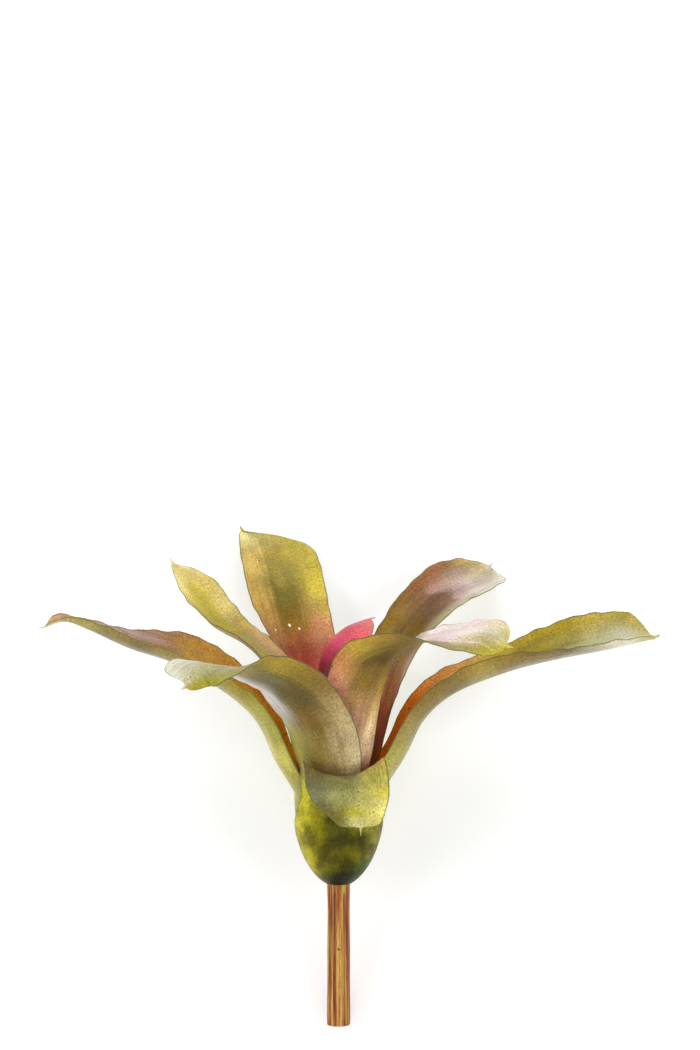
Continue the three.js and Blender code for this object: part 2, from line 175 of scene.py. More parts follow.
# Colours of each leaf from its foot (0) over the top of the sheath (0.25) to its tip (1), down
# the middle and towards the margins on the left and right hand, seen from the stem. Besides the
# leaves' own colours the stops hold painted light: pale near-white stops are painted highlights
# and glare, bright orange and yellow ones painted glow of light through the leaf, lighter stops
# low in the rosette painted light against the shade of the leaves around, and the dark foot of
# the heart leaf and the dark hand of the short front leaf painted shade.
OLIVE_UNDERSIDE = dict(
    middle=[(0.0, "#5c560e"), (0.15, "#857c24"), (0.35, "#8f8636"), (0.7, "#857832"),
            (1.0, "#a89c48")],
    margins=[(0.0, "#6c6a1c"), (0.2, "#98903a"), (0.6, "#8c8840"), (1.0, "#b0a850")])
LEAF_COLOURS_AND_PAINTED_LIGHT = {
    # tall back leaf: the yellow towards the tip on the right hand is painted glow of light through the
    # leaf
    "tall_back_leaf": dict(
        upper=dict(
            middle=[(0.3, "#6c1418"), (0.5, "#98302a"), (0.58, "#a8402c"), (0.64, "#a46030"),
                    (0.7, "#82640c"), (0.78, "#7a6e22"), (0.86, "#96873a"), (0.93, "#a8943a"),
                    (1.0, "#b0a55c")],
            left=[(0.4, "#8a3a2c"), (0.58, "#a0603a"), (0.66, "#a0763f"), (0.78, "#b89c48"),
                  (0.9, "#c6ae5c"), (1.0, "#e0d890")],
            right=[(0.4, "#a04a3c"), (0.58, "#b8644c"), (0.66, "#cc9064"), (0.74, "#c0a848"),
                   (0.82, "#ccbc3c"), (0.9, "#b8a840"), (1.0, "#b0a438")]),
        under=OLIVE_UNDERSIDE),
    # left back leaf: the pale golden stops towards the tip, most on the right hand, are painted
    # highlight
    "left_back_leaf": dict(
        upper=dict(
            middle=[(0.3, "#8a4a32"), (0.5, "#a07850"), (0.62, "#a08e48"), (0.68, "#a89640"),
                    (0.72, "#98883a"), (0.8, "#b0a23c"), (0.88, "#c0b040"), (0.94, "#d8c66c"),
                    (1.0, "#bfb05c")],
            left=[(0.4, "#8a7c40"), (0.62, "#90823c"), (0.74, "#86782a"), (0.84, "#b4a448"),
                  (0.92, "#dccd80"), (1.0, "#d4ca88")],
            right=[(0.4, "#a87254"), (0.56, "#bc8e68"), (0.66, "#bfa06a"), (0.76, "#b4a258"),
                   (0.84, "#e0d288"), (0.92, "#d2c070"), (1.0, "#e8deac")]),
        under=OLIVE_UNDERSIDE),
    # left leaf: the bright orange low on the upper side is painted glow of light through the leaf and
    # painted light against the shade of the leaves around it; the pale grey middle of the underside is
    # painted glare
    "left_leaf": dict(
        upper=dict(
            middle=[(0.3, "#e8b030"), (0.45, "#e0a420"), (0.54, "#bc9020"), (0.64, "#aa8834"),
                    (0.72, "#906a38"), (0.82, "#785c48"), (0.92, "#98866e"), (1.0, "#b89c70")],
            left=[(0.4, "#d88c18"), (0.6, "#96701e"), (0.75, "#7c5c40"), (1.0, "#b89c70")],
            right=[(0.3, "#e8b030"), (0.44, "#e4a828"), (0.52, "#bc8c20"), (0.62, "#b08c34"),
                   (0.7, "#906c3c"), (0.78, "#80664c"), (0.86, "#a08c80"), (1.0, "#b89c74")]),
        under=dict(
            middle=[(0.0, "#6c6a1c"), (0.2, "#a8a248"), (0.34, "#bcb664"), (0.46, "#aaa878"),
                    (0.55, "#b0ac90"), (0.7, "#98907a"), (0.85, "#8e8468"), (1.0, "#c0a878")],
            left=[(0.0, "#6c6a1c"), (0.2, "#8f8a2c"), (0.3, "#9c9030"), (0.36, "#bab052"),
                  (0.44, "#989440"), (0.54, "#958828"), (0.66, "#8a8040"), (0.8, "#7c7038"),
                  (0.9, "#9a9450"), (1.0, "#c0a878")],
            right=[(0.0, "#6c6a1c"), (0.2, "#a8a248"), (0.5, "#b0ac80"), (1.0, "#c0a878")])),
    # right leaf: the bright orange low on the upper side is painted glow of light through the leaf; the
    # pale grey stops towards the tip, on the right hand of both sides and down the middle of the
    # underside, are painted glare
    "right_leaf": dict(
        upper=dict(
            middle=[(0.3, "#d8700c"), (0.44, "#d87818"), (0.54, "#b07438"), (0.64, "#9c7c30"),
                    (0.72, "#7c6814"), (0.78, "#958838"), (0.86, "#a4a068"), (0.94, "#b0b290"),
                    (1.0, "#b4ac68")],
            left=[(0.3, "#e88c20"), (0.44, "#e08828"), (0.52, "#c48c44"), (0.6, "#b49440"),
                  (0.68, "#a49428"), (0.78, "#9a8e1e"), (0.88, "#a69e48"), (0.95, "#949040"),
                  (1.0, "#aca050")],
            right=[(0.3, "#d8700c"), (0.5, "#b8742c"), (0.62, "#98803c"), (0.74, "#908848"),
                   (0.82, "#b4b490"), (0.9, "#c8cabc"), (0.96, "#c0c2b0"), (1.0, "#b0a050")]),
        under=dict(
            middle=[(0.0, "#6c6a1c"), (0.2, "#a09c58"), (0.34, "#a8a060"), (0.44, "#8c8858"),
                    (0.52, "#7c7038"), (0.62, "#948c5c"), (0.72, "#aca68c"), (0.85, "#c8c4b8"),
                    (1.0, "#b8b080")],
            left=[(0.0, "#6c6a1c"), (0.2, "#a09c58"), (0.5, "#8c8450"), (1.0, "#b8b080")],
            right=[(0.0, "#6c6a1c"), (0.2, "#9a9440"), (0.34, "#aaa24c"), (0.4, "#948640"),
                   (0.48, "#806a2a"), (0.54, "#806c2c"), (0.62, "#9c8a38"), (0.7, "#7c6620"),
                   (0.78, "#7a6c40"), (0.86, "#aca88c"), (0.94, "#d0ccb8"), (1.0, "#b0a860")])),
    # left front leaf: the pale stops low on the underside (0.3) are painted light against the shade
    # where it meets the short front leaf; the near-white stops on the right hand of the underside are
    # painted glare
    "left_front_leaf": dict(
        upper=dict(
            middle=[(0.25, "#8a3c14"), (0.5, "#a8641c"), (0.7, "#a0783c"), (0.82, "#a09a78"),
                    (0.9, "#a8a684"), (1.0, "#bcbc98")],
            left=[(0.3, "#8a3c14"), (0.55, "#a8641c"), (0.7, "#96843c"), (0.86, "#949040"),
                  (0.92, "#92921c"), (1.0, "#a09a20")],
            right=[(0.3, "#8a3c14"), (0.55, "#a8641c"), (0.75, "#9a9468"), (0.86, "#b0ae98"),
                   (0.95, "#bcbaa4"), (1.0, "#c4c6b8")]),
        under=dict(
            middle=[(0.0, "#6c5a30"), (0.3, "#b8965c"), (0.4, "#907c3c"), (0.5, "#785f22"),
                    (0.6, "#60521c"), (0.7, "#746832"), (0.8, "#8c8040"), (0.92, "#9c9628"),
                    (1.0, "#a49c34")],
            left=[(0.0, "#8a7248"), (0.3, "#dcc89c"), (0.4, "#c4b084"), (0.5, "#a48e5c"),
                  (0.58, "#826e28"), (0.68, "#9c8a2c"), (0.78, "#887a24"), (0.9, "#9c9618"),
                  (1.0, "#a8a024")],
            right=[(0.0, "#6c6a20"), (0.3, "#a89c38"), (0.42, "#989040"), (0.5, "#948c5c"),
                   (0.6, "#a4a094"), (0.7, "#c0bcb8"), (0.8, "#d0ccca"), (1.0, "#a8a880")])),
    # right front leaf: the near-white pink stops around 0.8 on the upper side are painted highlight
    "right_front_leaf": dict(
        upper=dict(
            middle=[(0.25, "#7a1c1c"), (0.5, "#8a4030"), (0.7, "#a88070"), (0.8, "#ccb8b0"),
                    (0.88, "#dcc6c0"), (0.95, "#d0c8a0"), (1.0, "#bcb458")],
            left=[(0.3, "#7a1c1c"), (0.6, "#9a6040"), (0.74, "#9c8c70"), (0.81, "#e0d0ce"),
                  (0.9, "#dcc4be"), (0.96, "#ccbc88"), (1.0, "#c0b04c")],
            right=[(0.3, "#7a1c1c"), (0.6, "#8a6038"), (0.74, "#8a7440"), (0.82, "#74602c"),
                   (0.88, "#a09850"), (0.94, "#aca430"), (1.0, "#b4a838")]),
        under=dict(
            middle=[(0.0, "#8a6c50"), (0.35, "#b49c80"), (0.46, "#b08864"), (0.52, "#a8804c"),
                    (0.58, "#84681f"), (0.66, "#5e4c10"), (0.74, "#745e22"), (0.84, "#9a9038"),
                    (1.0, "#ccc884")],
            left=[(0.0, "#8a6c50"), (0.4, "#ccac88"), (0.46, "#ecce9c"), (0.5, "#dcbc78"),
                  (0.56, "#a08840"), (0.64, "#70602a"), (0.72, "#786c40"), (0.8, "#b0a48c"),
                  (1.0, "#d8c8b8")],
            right=[(0.0, "#8a6c50"), (0.45, "#e4a084"), (0.54, "#e4a488"), (0.6, "#cc9458"),
                   (0.66, "#b8a03c"), (0.72, "#907828"), (0.78, "#78682c"), (0.86, "#a09028"),
                   (0.94, "#ac9428"), (1.0, "#c4bc60")])),
    # right back leaf: the lighter stops from 0.42 to 0.6 are painted light against the shade low in the
    # rosette
    "right_back_leaf": dict(
        upper=dict(
            middle=[(0.3, "#a0501c"), (0.42, "#b8704c"), (0.52, "#c08c58"), (0.6, "#94804c"),
                    (0.67, "#705400"), (0.74, "#6a4c28"), (0.79, "#785840"), (0.83, "#b0948c"),
                    (0.9, "#c4b4a8"), (0.95, "#a89e80"), (1.0, "#c0ba9c")],
            left=[(0.4, "#a87440"), (0.64, "#887014"), (0.72, "#866828"), (0.78, "#845a2c"),
                  (0.84, "#946440"), (0.9, "#88683a"), (0.95, "#ac9a60"), (1.0, "#c8c090")],
            right=[(0.3, "#a05020"), (0.44, "#b0603c"), (0.52, "#d09484"), (0.58, "#dcc0ac"),
                   (0.66, "#9c8c60"), (0.74, "#b4ac7c"), (0.82, "#b0a88c"), (0.9, "#ccc8b4"),
                   (1.0, "#dcdacc")]),
        under=dict(
            middle=[(0.0, "#6c6a1c"), (0.3, "#8f8640"), (0.7, "#9c9458"), (1.0, "#b0ac78")],
            left=[(0.0, "#6c6a1c"), (0.3, "#8f8640"), (1.0, "#b0ac78")],
            right=[(0.0, "#6c6a1c"), (0.3, "#8f8640"), (0.8, "#b4ae70"), (1.0, "#c0bc84")])),
    # short front leaf: the bright yellow left hand of the upper side is painted highlight and glow of
    # light through the leaf, and its dark right hand painted shade
    "short_front_leaf": dict(
        upper=dict(
            middle=[(0.25, "#7c7038"), (0.45, "#736a36"), (0.54, "#7c7444"), (0.62, "#848246"),
                    (0.7, "#a09c5c"), (0.78, "#9e9a54"), (0.86, "#a29e26"), (0.94, "#beba6c"),
                    (1.0, "#ccc688")],
            left=[(0.3, "#b0a060"), (0.54, "#b8a858"), (0.62, "#aca648"), (0.7, "#ccc24c"),
                  (0.78, "#dcd276"), (0.88, "#f0e88c"), (1.0, "#b4b058")],
            right=[(0.3, "#6c6434"), (0.54, "#686034"), (0.62, "#5c5c34"), (0.7, "#747a50"),
                   (0.8, "#625e2e"), (0.88, "#6e6a1e"), (1.0, "#767a38")]),
        under=dict(
            middle=[(0.0, "#181800"), (0.04, "#242600"), (0.09, "#484400"), (0.14, "#5c5400"),
                    (0.18, "#4c4800"), (0.25, "#747010"), (0.4, "#807c38"), (1.0, "#a0983c")],
            left=[(0.0, "#1c2800"), (0.05, "#34440a"), (0.1, "#445410"), (0.14, "#6c6a18"),
                  (0.2, "#88862c"), (0.3, "#96943c"), (1.0, "#a0a050")],
            right=[(0.0, "#4c4410"), (0.05, "#7c7618"), (0.1, "#a89e18"), (0.2, "#aaa020"),
                   (0.3, "#a29c2c"), (0.42, "#808038"), (1.0, "#a0a050")])),
    "low_back_leaf": dict(
        upper=dict(
            middle=[(0.25, "#8a5a24"), (0.6, "#8a7c33"), (1.0, "#b0a54e")],
            margins=[(0.3, "#8a7c33"), (1.0, "#b0a54e")]),
        under=dict(
            middle=[(0.0, "#3a3406"), (0.08, "#686010"), (0.25, "#8c842c"), (1.0, "#a0983c")],
            margins=[(0.0, "#4c4410"), (0.1, "#948c30"), (1.0, "#a0a050")])),
    # heart leaf: the near-black foot is painted shade and the pale pink top is partly painted highlight
    "heart_leaf": dict(
        upper=dict(
            middle=[(0.25, "#3c0206"), (0.5, "#6a0a16"), (0.8, "#b03048"), (1.0, "#d05a68")],
            margins=[(0.3, "#5a0a10"), (0.7, "#a82c40"), (1.0, "#cc5464")]),
        under=dict(
            middle=[(0.0, "#3c0206"), (0.64, "#500208"), (0.72, "#7c0c1c"), (0.77, "#b02c48"),
                    (0.83, "#cc4864"), (0.89, "#c8485c"), (1.0, "#d06470")],
            left=[(0.0, "#3c0206"), (0.6, "#540410"), (0.76, "#a82840"), (0.86, "#e85c68"),
                  (1.0, "#d87468")],
            right=[(0.0, "#3c0206"), (0.6, "#540410"), (0.76, "#8c1c34"), (0.86, "#b83454"),
                   (1.0, "#d05a70")])),
}

# Finishes that differ from the common one, on the upper and on the underside
# silvery bands, painted glare in lines along the veins and partly the leaf's silvery scales: across
# from none to full, along from start to end, strength and tint
# scars: middle across and along, and half size, as shares of the leaf
UPPER_FINISH = {
    "tall_back_leaf": dict(rim="#3f5a4a", clouds_mm=(9, 14), scars=[
        (0.575, 0.688, (0.022, 0.005)), (0.45, 0.678, (0.016, 0.0045)),
        (0.83, 0.672, (0.012, 0.003))]),
    "left_back_leaf": dict(clouds_mm=(8, 14)),
    "left_leaf": dict(rim="#6a4030", glare_and_silver=[(0.4, 0.1, 0.66, 0.92, 0.35, "#e4dad8")]),
    "right_leaf": dict(rim="#3a5a38", glare_and_silver=[(0.9, 0.5, 0.78, 1.02, 0.42, "#dce2d2")]),
    "right_back_leaf": dict(streaking=0.16, glare_and_silver=[(0.5, 0.2, 0.7, 1.05, 0.42, "#dcd4ce"),
                                                    (1.0, 0.6, 0.84, 1.0, 0.18, "#d4cabc")]),
    "left_front_leaf": dict(glare_and_silver=[(0.6, 0.3, 0.84, 1.05, 0.5, "#dfe5dc")]),
    "right_front_leaf": dict(glare_and_silver=[(0.3, 0.6, 0.79, 0.98, 0.4, "#f2eaea")]),
    "short_front_leaf": dict(clouds_mm=(12, 12), streaking=0.02, feathering=0.15,
                             patches=(0.88, 1.14)),
    "heart_leaf": dict(rim="#8a2038", rust=0.02, patches=(0.95, 1.05)),
}
UNDER_FINISH = {
    "short_front_leaf": dict(patches=(0.58, 1.4), clouds_mm=(10, 9), streaking=0.02, shine=0.12,
                             feathering=0.08, rim="#4a5a30"),
    "low_back_leaf": dict(patches=(0.65, 1.3), clouds_mm=(10, 9), streaking=0.02, shine=0.15),
    "left_leaf": dict(bloom=0.15, rim="#5a6a30", glare_and_silver=[(0.7, 0.4, 0.44, 0.9, 0.25, "#d4d2c4")]),
    "right_leaf": dict(bloom=0.15, rim="#4a5a2c", glare_and_silver=[(0.3, 0.6, 0.56, 0.8, 0.35, "#dcd8cc")]),
    "left_front_leaf": dict(bloom=0.08, rim="#35503a",
                            glare_and_silver=[(0.46, 0.14, 0.5, 0.84, 0.7, "#e6e4e6")]),
    "right_front_leaf": dict(rim="#35503a", glare_and_silver=[(0.5, 0.8, 0.74, 0.94, 0.4, "#e4dcd6")]),
    "heart_leaf": dict(rim="#8a2038", rust=0.02, patches=(0.95, 1.05)),
}


def colour(text):
    """An sRGB hex value as the linear colour that the shaders take."""
    channels = [int(text[i:i + 2], 16) / 255 for i in (1, 3, 5)]
    linear = [c / 12.92 if c <= 0.04045 else ((c + 0.055) / 1.055) ** 2.4 for c in channels]
    return (*linear, 1.0)


def smooth(x):
    """Eased step from 0 at 0 to 1 at 1."""
    x = np.clip(x, 0, 1)
    return x * x * (3 - 2 * x)


def through(values, u, before=None):
    """Catmull-Rom curve through values, at the shares u of its length; ends carried on straight."""
    values = np.asarray(values, float)
    u = np.atleast_1d(np.asarray(u, float))
    last = len(values) - 1
    x = np.clip(u, 0, 1) * last
    i = np.minimum(np.floor(x).astype(int), last - 1)
    f = x - i
    if before is None:
        before = 2 * values[0] - values[1]
    after = 2 * values[last] - values[last - 1]
    line = np.concatenate([[before], values, [after]])
    a, b, c, d = line[i], line[i + 1], line[i + 2], line[i + 3]
    if values.ndim > 1:
        f = f[:, None]
    square = 2 * a - 5 * b + 4 * c - d
    cube = 3 * b - a - 3 * c + d
    return 0.5 * (2 * b + (c - a) * f + square * f ** 2 + cube * f ** 3)


def from_stem(azimuth, reach, height):
    """Points at a reach from the stem's middle line, in the direction azimuth."""
    a = np.radians(azimuth)
    a, reach, height = np.broadcast_arrays(a, reach, height)
    return np.stack([reach * np.cos(a), reach * np.sin(a), height], axis=-1).astype(float)


def unit(vectors):
    return vectors / np.maximum(np.linalg.norm(vectors, axis=-1, keepdims=True), 1e-12)


def lay_down(points):
    """Turns points of the upright plant to where it lies in the frame, in metres."""
    turn = lying_turn()
    return (points @ np.array(turn).T + np.array(SHIFT)) * MM


def lying_turn():
    """Turn from the upright plant to the lying one."""
    flat = Matrix.Rotation(math.radians(-90), 3, "X")
    head_up = Matrix.Rotation(math.radians(HEAD_UP), 3, "X")
    side_roll = Matrix.Rotation(math.radians(SIDE_ROLL), 3, "Y")
    return side_roll @ head_up @ flat


# Leaves
def sheath_rows(leaf, wide, deep, foot_angle, top_angle):
    """Rows of the sheath, from the core up the wall of the bulb."""
    share = np.arange(SHEATH_ROWS) / SHEATH_ROWS
    angle = foot_angle + (top_angle - foot_angle) * share
    reach = wide * np.sin(angle)
    height = BULB_HEIGHT - deep * np.cos(angle)
    foot_height = BULB_HEIGHT - deep * math.cos(foot_angle)
    risen = (height - foot_height) / (leaf["sheath_top"] - foot_height)
    wrap = np.radians(through(leaf["wrap"], risen))
    azimuth = np.full(SHEATH_ROWS, float(leaf["azimuth"]))
    return dict(point=from_stem(azimuth, reach, height), azimuth=azimuth,
                t=np.zeros(SHEATH_ROWS), place=SHEATH_SHARE * share,
                base=reach * wrap, half=reach * wrap, bend=wrap)


def blade_rows(leaf, wide, deep, top_angle):
    """Rows of the blade, which goes on from the sheath's own direction."""
    top = leaf["sheath_top"]
    top_reach = wide * math.sin(top_angle)
    lower = top - 12
    lower_reach = wide * math.sin(math.acos((BULB_HEIGHT - lower) / deep))
    before = from_stem(leaf["azimuth"], lower_reach, lower)
    nodes = [from_stem(leaf["azimuth"], top_reach, top)]
    nodes += [from_stem(*place) for place in leaf["path"]]
    azimuths = [leaf["azimuth"]] + [place[0] for place in leaf["path"]]
    u = np.linspace(0, 1, CURVE_STEPS + 1)
    curve = through(nodes, u, before)
    lengths = np.concatenate([[0], np.cumsum(np.linalg.norm(np.diff(curve, axis=0), axis=1))])
    total = lengths[-1]
    body = 1 - leaf["tip"]
    body_count = max(int(total * body / BLADE_STEP), 4)
    t = np.concatenate([np.linspace(0, body, body_count, endpoint=False),
                        body + leaf["tip"] * np.sin(np.linspace(0, math.pi / 2, TIP_ROWS))])
    point = np.stack([np.interp(t * total, lengths, curve[:, k]) for k in range(3)], axis=1)
    azimuth = np.interp(t * total, lengths, through(azimuths, u))
    top_wrap = leaf["wrap"][-1]
    base = through([top_reach * math.radians(top_wrap)] + leaf["half_width"], t)
    end = np.clip((t - body) / leaf["tip"], 0, 1)
    half = np.maximum(base * np.maximum(1 - end ** 2, 0) ** leaf["blunt"], SPINE_BASE_HALF)
    bend = np.radians(through([top_wrap] + leaf["cup"], t))
    return dict(point=point, azimuth=azimuth, t=t, place=SHEATH_SHARE + (1 - SHEATH_SHARE) * t,
                base=base, half=half, bend=bend)


def orient(leaf, rows):
    """Directions of each row: along the leaf, across it and towards its upper side."""
    point, t = rows["point"], rows["t"]
    step = np.diff(point, axis=0)
    back = np.concatenate([step[:1], step])
    ahead = np.concatenate([step, step[-1:]])
    back_length = np.linalg.norm(back, axis=1, keepdims=True)
    ahead_length = np.linalg.norm(ahead, axis=1, keepdims=True)
    along = unit(back * ahead_length / back_length + ahead * back_length / ahead_length)
    outward = from_stem(rows["azimuth"], 1.0, 0.0)
    across = from_stem(rows["azimuth"] + 90, 1.0, 0.0)
    in_blade = (rows["place"] >= SHEATH_SHARE)[:, None]
    tilted = unit(across - along * np.sum(across * along, axis=1, keepdims=True))
    across = np.where(in_blade, tilted, across)
    level = np.cross(along, across)
    settled = np.where(in_blade, smooth(t / 0.3)[:, None], 0)
    face = outward * (settled - 1) + level * settled
    face = unit(face - across * np.sum(face * across, axis=1, keepdims=True))
    roll = np.radians(through([0] + leaf["roll"], t))[:, None] * in_blade
    turned = across * np.cos(roll) + face * np.sin(roll)
    raised = face * np.cos(roll) - across * np.sin(roll)
    return along, turned, raised


def leaf_rows(leaf):
    """Rows of the whole leaf; its layer says how deep in the bulb its sheath lies."""
    depth = FIRST_LAYER + LAYER_STEP * leaf["layer"]
    wide = BULB_RADIUS - depth
    deep = BULB_HEIGHT - BULB_BASE - depth
    foot_angle = math.asin((CORE_RADIUS + CORE_GAP) / wide)
    top_angle = math.acos((BULB_HEIGHT - leaf["sheath_top"]) / deep)
    sheath = sheath_rows(leaf, wide, deep, foot_angle, top_angle)
    blade = blade_rows(leaf, wide, deep, top_angle)
    return {key: np.concatenate([sheath[key], blade[key]]) for key in sheath}


def gentle_waves(rng, x, lengths):
    """Sum of gentle waves along x, of the given lengths in millimetres, with seeded starts."""
    total = np.zeros_like(x)
    for length in lengths:
        total += np.sin(2 * math.pi * x / length + rng.uniform(0, 2 * math.pi))
    return total / math.sqrt(len(lengths))


def with_spine(leaf, rows):
    """The rows of the leaf, carried on into the hooked spine at its tip."""
    along, across, face = orient(leaf, rows)
    share = np.linspace(0, 1, SPINE_ROWS + 1)[1:]
    reach = leaf["spine"] * share[:, None]
    hook = SPINE_HOOK * reach * share[:, None] * face[-1]
    own = dict(point=rows["point"][-1] + reach * along[-1] + hook,
               half=SPINE_TIP_HALF + (SPINE_BASE_HALF - SPINE_TIP_HALF) * (1 - share) ** 1.7,
               in_spine=share)
    rows = dict(rows, across=across, face=face, in_spine=np.zeros(len(rows["t"])))
    return {key: np.concatenate([values, own.get(key, np.repeat(values[-1:], SPINE_ROWS, axis=0))])
            for key, values in rows.items()}


def margin_ruffle(leaf, t, u, v, base):
    """Waves along the margins, fading towards the midrib and the foot of the blade."""
    height, waves, start = leaf["ruffle"]
    phase = 2 * math.pi * waves * t[:, None] + start + np.where(v < 0, 0, 1.9)[None, :]
    near_margin = (np.abs(u) / base[:, None]) ** 3
    settled = smooth((t - 0.1) / 0.25)[:, None]
    return height * np.sin(phase) * near_margin * settled


def grown_unevenness(rng, t, run, u, v):
    """Crimped margins, lengthwise grooves and soft swells of the free part of the blade."""
    free = smooth((t - 0.12) / 0.3)[:, None]
    lift = np.zeros_like(u)
    for side in (-1, 1):
        crimp = gentle_waves(rng, run, CRIMP_LENGTHS)[:, None]
        lift += CRIMP_HEIGHT * crimp * free * np.where(v * side > 0, np.abs(v) ** 4, 0)[None, :]
    groove = gentle_waves(rng, u + 2 * np.sin(run / 31)[:, None], GROOVE_WIDTHS)
    lift += GROOVE_HEIGHT * groove * free * (1 - v ** 4)[None, :]
    swell = np.sin(run / 17 + rng.uniform(0, 6))[:, None] * np.sin(u / 9 + rng.uniform(0, 6))
    return lift + SWELL_HEIGHT * swell * free


def leaf_surface(leaf, rng):
    """Middle surface of the leaf as rows of points, with its place, margins and run in mm."""
    rows = with_spine(leaf, leaf_rows(leaf))
    point, t, base, half = (rows[key] for key in ("point", "t", "base", "half"))
    run = np.concatenate([[0], np.cumsum(np.linalg.norm(np.diff(point, axis=0), axis=1))])
    bend = np.where(np.abs(rows["bend"]) < 0.02, 0.02, rows["bend"])
    radius = (base / bend)[:, None]
    v = np.linspace(-1, 1, COLUMNS + 1)
    v = np.sign(v) * np.abs(v) ** 0.85
    aside = through([0, *leaf["shift"]], t) + leaf["skew"] * (base - half)
    u = v[None, :] * half[:, None] + aside[:, None]
    lift = radius * (1 - np.cos(u / radius)) + margin_ruffle(leaf, t, u, v, base)
    lift = lift + grown_unevenness(rng, t, run, u, v)
    sideways = radius * np.sin(u / radius)
    fold = np.radians(through([0, *leaf["droop"]], t))[:, None]
    folded = np.abs(fold) * np.where(u * fold > 0, smooth(np.abs(u) / (0.4 * base[:, None])), 0)
    hand = np.sign(u)
    out_across = sideways * np.cos(folded) + hand * lift * np.sin(folded)
    out_face = lift * np.cos(folded) - hand * sideways * np.sin(folded)
    surface = (point[:, None, :] + rows["across"][:, None, :] * out_across[..., None]
               + rows["face"][:, None, :] * out_face[..., None])
    return dict(points=surface, v=v, u=u, half=half, place=rows["place"], run=run, t=t,
                in_spine=rows["in_spine"])


def surface_normals(points):
    along = np.gradient(points, axis=0)
    across = np.gradient(points, axis=1)
    return unit(np.cross(along, across))


def half_thickness(sheet):
    v = np.abs(sheet["v"])[None, :]
    thin = 1 - MARGIN_THINNING * v ** 3
    to_tip = 1 - TIP_THINNING * smooth((sheet["t"] - 0.8) / 0.2)[:, None]
    in_spine = 1 - SPINE_THINNING * sheet["in_spine"][:, None]
    return 0.5 * LEAF_THICKNESS * thin * to_tip * in_spine


def add_prickles(sheet, normals, rng, verts, faces, maps):
    """Small prickles along both margins, each a little spike leaning towards the tip."""
    points, run, t = sheet["points"], sheet["run"], sheet["t"]
    for column, inner in ((0, 1), (-1, -2)):
        edge = points[:, column]
        outward = unit(edge - points[:, inner])
        s = run[np.searchsorted(t, 0.16)] + rng.uniform(0, 3)
        stop = run[-SPINE_ROWS - 4]
        while s < stop:
            k = min(int(np.searchsorted(run, s)), len(run) - 2)
            forward = unit(edge[k + 1] - edge[k - 1])
            up = normals[k, column] * PRICKLE_HALF_THICK
            length = rng.uniform(*PRICKLE_LENGTH)
            foot = edge[k] - PRICKLE_ROOT * outward[k]
            half_foot = forward * (0.5 + 0.5 * length) * 0.5
            point = foot + outward[k] * (length + PRICKLE_ROOT) + forward * length * 0.6
            a = len(verts)
            verts.extend([foot - half_foot, foot + up, foot + half_foot, foot - up, point])
            faces.extend([(a, a + 1, a + 4), (a + 1, a + 2, a + 4), (a + 2, a + 3, a + 4),
                          (a + 3, a, a + 4), (a + 3, a + 2, a + 1, a)])
            share = 0.0 if column == 0 else 1.0
            maps.extend([(share, sheet["place"][k], sheet["u"][k, column], run[k], 0.0)] * 5)
            s += rng.uniform(*PRICKLE_GAP)


def skin_faces(row_count, width):
    """Faces of a leaf's closed skin, and for each 0 on its upper side or 1 on its underside."""
    under = row_count * width
    left_rim = 2 * under
    right_rim = left_rim + row_count
    faces, sides = [], []
    for i in range(row_count - 1):
        for j in range(width - 1):
            a = i * width + j
            b = a + width
            faces += [(a, b, b + 1, a + 1), (a + under, a + under + 1, b + under + 1, b + under)]
            sides += [0, 1]
        a, b = i * width, (i + 1) * width
        c, d = left_rim + i, left_rim + i + 1
        faces += [(a, c, d, b), (c, a + under, b + under, d)]
        a, b = a + width - 1, b + width - 1
        c, d = right_rim + i, right_rim + i + 1
        faces += [(a, b, d, c), (c, d, b + under, a + under)]
        sides += [0, 1, 0, 1]
    for i in (0, row_count - 1):
        ring = [i * width + j for j in range(width)] + [right_rim + i]
        ring += [under + i * width + j for j in reversed(range(width))] + [left_rim + i]
        faces.append(tuple(reversed(ring)) if i else tuple(ring))
        sides.append(1)
    return faces, sides


def build_leaf(name, leaf, upper, under):
    """One leaf as a closed skin: upper side, underside and a rounded rim, with prickles."""
    seed = sum(ord(letter) for letter in name)
    rng = np.random.default_rng(seed)
    sheet = leaf_surface(leaf, rng)
    points = sheet["points"]
    normals = surface_normals(points)
    half_thick = half_thickness(sheet)[..., None]
    row_count, width = points.shape[:2]
    top = points + normals * half_thick
    low = points - normals * half_thick
    rims = []
    for column, inner in ((0, 1), (-1, -2)):
        outward = unit(points[:, column] - points[:, inner])
        rims.append(points[:, column] + outward * half_thick[:, column] * 0.7)
    verts = list(np.concatenate([top.reshape(-1, 3), low.reshape(-1, 3), rims[0], rims[1]]))

    share = (sheet["v"] + 1) / 2
    to_margin = (1 - np.abs(sheet["v"]))[None, :] * sheet["half"][:, None]
    to_margin = to_margin + FAR_FROM_MARGIN * (sheet["in_spine"] > 0)[:, None]

    def mapped(i, j, on_rim=False):
        return (share[j], sheet["place"][i], sheet["u"][i, j], sheet["run"][i],
                0.0 if on_rim else to_margin[i, j])

    rows = range(row_count)
    maps = [mapped(i, j) for i in rows for j in range(width)] * 2
    maps += [mapped(i, j, True) for j in (0, width - 1) for i in rows]
    faces, sides = skin_faces(row_count, width)
    skin_count = len(faces)
    add_prickles(sheet, normals, rng, verts, faces, maps)
    sides += [1] * (len(faces) - skin_count)
    return make_piece(name, verts, faces, maps, sides, (upper, under), 1000.0 * seed)


